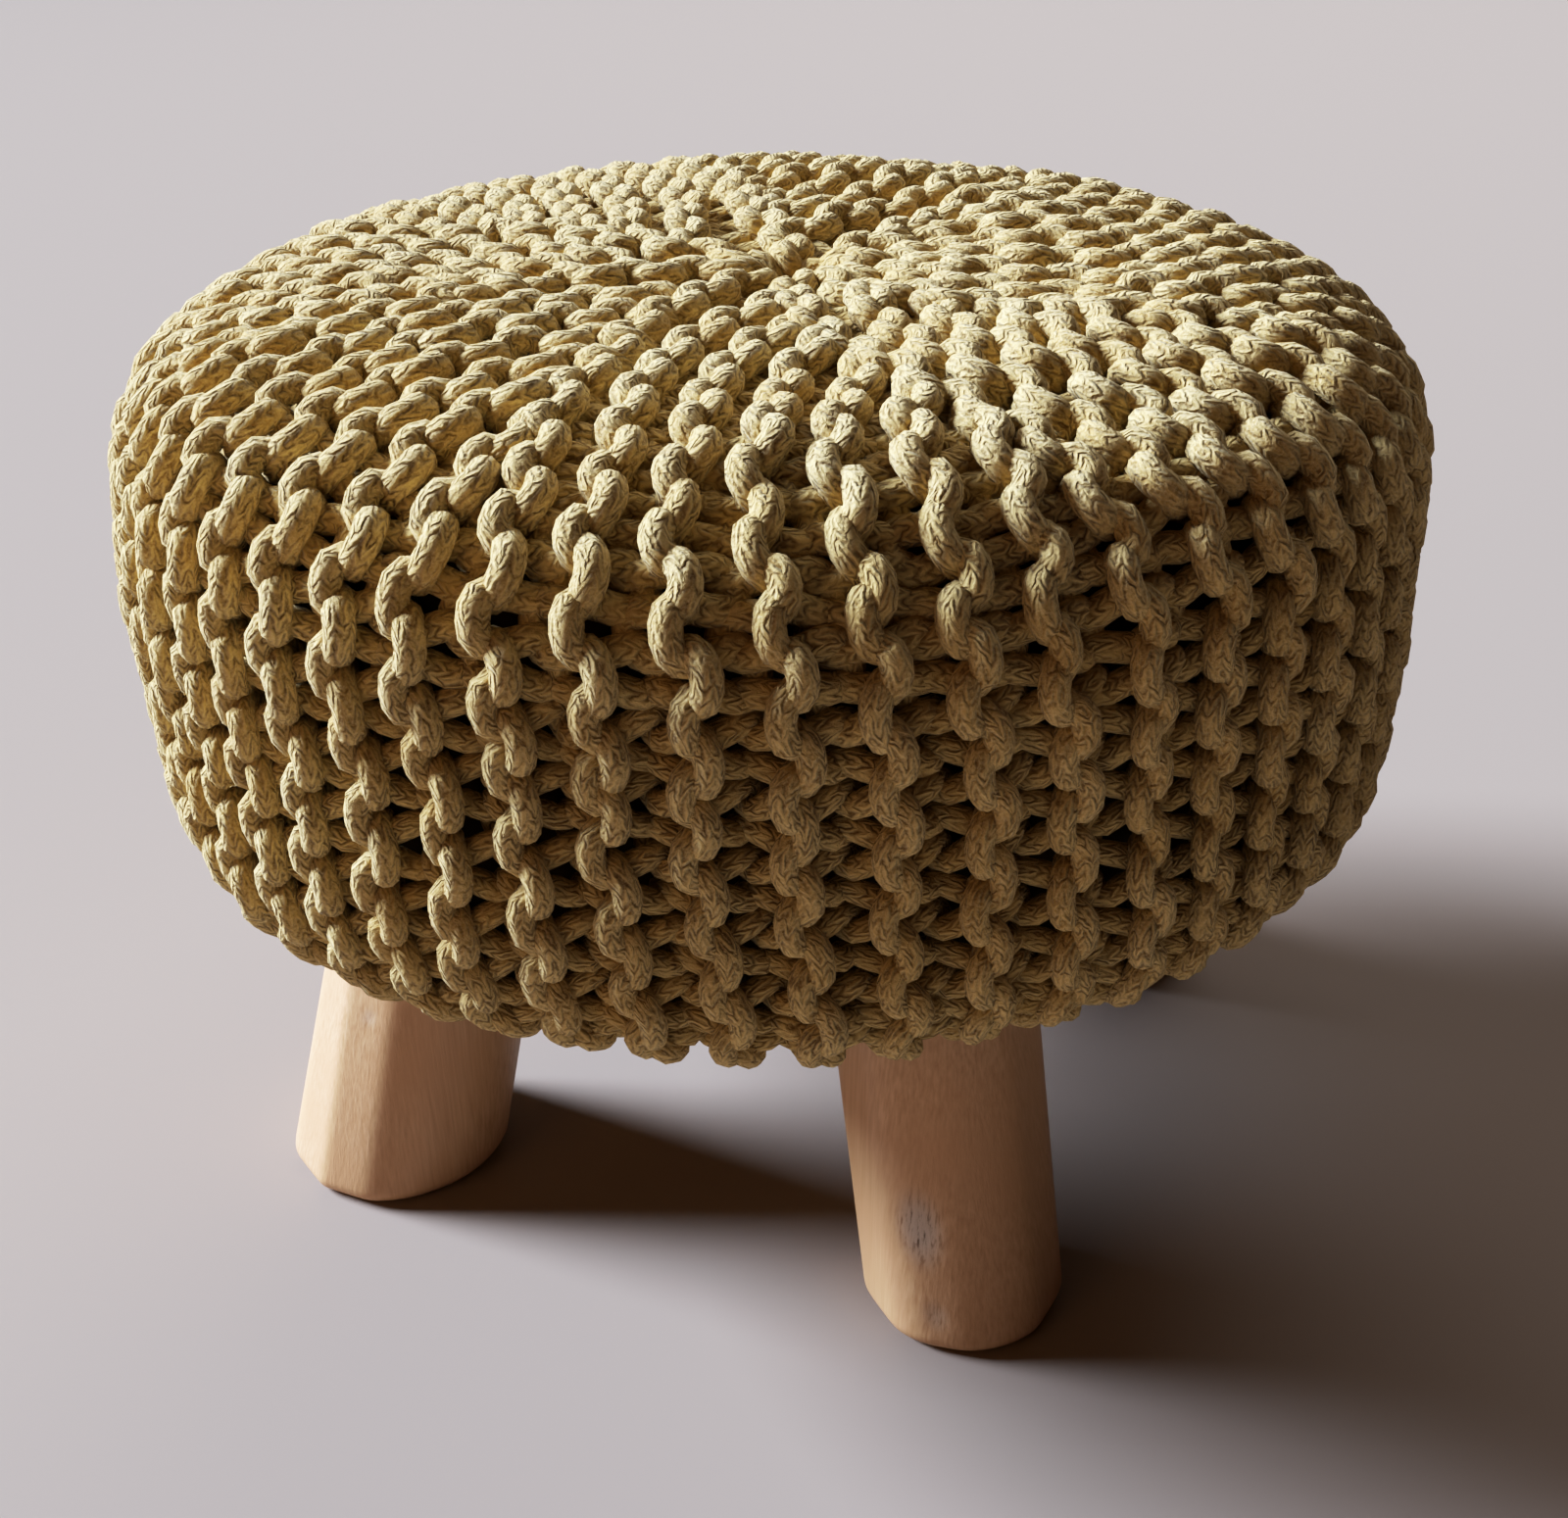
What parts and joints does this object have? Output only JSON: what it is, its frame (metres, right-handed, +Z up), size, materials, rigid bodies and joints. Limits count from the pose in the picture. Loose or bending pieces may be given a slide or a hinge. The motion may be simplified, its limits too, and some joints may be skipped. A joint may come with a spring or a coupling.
{
  "type": "knitted pouf footstool",
  "caption": "Round pouf in chunky garter-knit cotton cord, with a flat crown, full shoulder and upright ridges, raised on splayed peeled-log legs as a low footstool.",
  "frame": {"origin": "on the floor, under the middle of the round body", "axes": "+Z up; +X to the right and -Y to the front, as the picture sees it"},
  "size_m": [0.4198, 0.42, 0.306],
  "materials": {
    "cotton_cord": "matte mustard-khaki cotton cord, slightly fuzzy",
    "peeled_wood": "satin peeled and sanded log, warm tan"
  },
  "bodies": {
    "root": {"pouf_body": "cotton_cord", "leg_front_left": "peeled_wood", "leg_front_right": "peeled_wood", "leg_back_right": "peeled_wood", "leg_back_left": "peeled_wood"}
  },
  "joints": []
}
